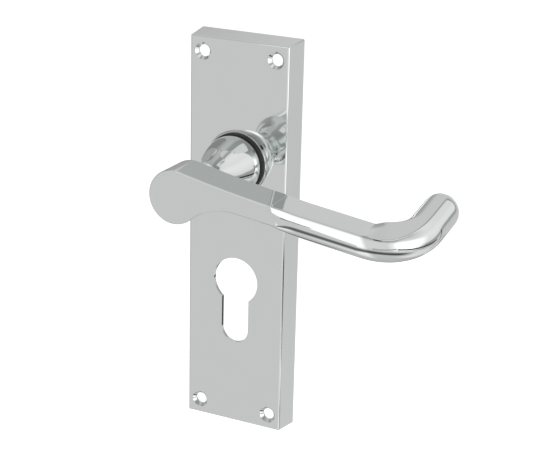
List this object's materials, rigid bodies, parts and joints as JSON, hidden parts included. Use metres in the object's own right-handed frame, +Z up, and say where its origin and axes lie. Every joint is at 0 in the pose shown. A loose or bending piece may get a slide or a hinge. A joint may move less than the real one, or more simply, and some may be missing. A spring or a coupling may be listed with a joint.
{
  "type": "lever handle on backplate",
  "caption": "Sprung scroll lever handle with a bell-shaped neck and curled grip, on a hollow rectangular backplate with countersunk screw holes and a euro cylinder cut-out.",
  "frame": {"origin": "where the lever's turning axis meets the door's surface, at the mouth of the spindle socket", "axes": "+Z up along the plate, +Y into the door, +X to the right seen from the room, the way the lever points"},
  "size_m": [0.1106, 0.0571, 0.15],
  "materials": {
    "plate_chrome": "polished chrome plate on a zinc casting",
    "lever_chrome": "polished chrome plate on a zinc casting",
    "collar_chrome": "polished chrome plate on turned brass",
    "black_nylon": "moulded black nylon",
    "zinc_steel": "zinc plated pressed steel",
    "bright_steel": "turned bright steel",
    "spring_steel": "oiled spring steel",
    "washer_brass": "stamped brass"
  },
  "bodies": {
    "plate": {"backplate": "plate_chrome", "neck_collar": "collar_chrome", "bearing_bush": "black_nylon", "mechanism_plate": "zinc_steel", "push_nuts": "spring_steel", "rest_stop_pin": "bright_steel", "travel_stop_pin": "bright_steel", "spring_anchor_pin": "bright_steel", "return_spring": "spring_steel"},
    "lever": {"lever_handle": "lever_chrome", "spindle_sleeve": "bright_steel", "thrust_washer": "washer_brass", "drive_cam": "zinc_steel", "wave_washer": "spring_steel", "retaining_clip": "spring_steel"}
  },
  "joints": [
    {"name": "lever_turn", "type": "hinge", "parent": "plate", "child": "lever", "pos_m": [0, 0, 0], "axis": [0, 1, 0], "range_deg": [0, 40], "stiffness_Nm_per_rad": 0.36, "springref_deg": -34.38, "deforming": ["return_spring"]}
  ]
}
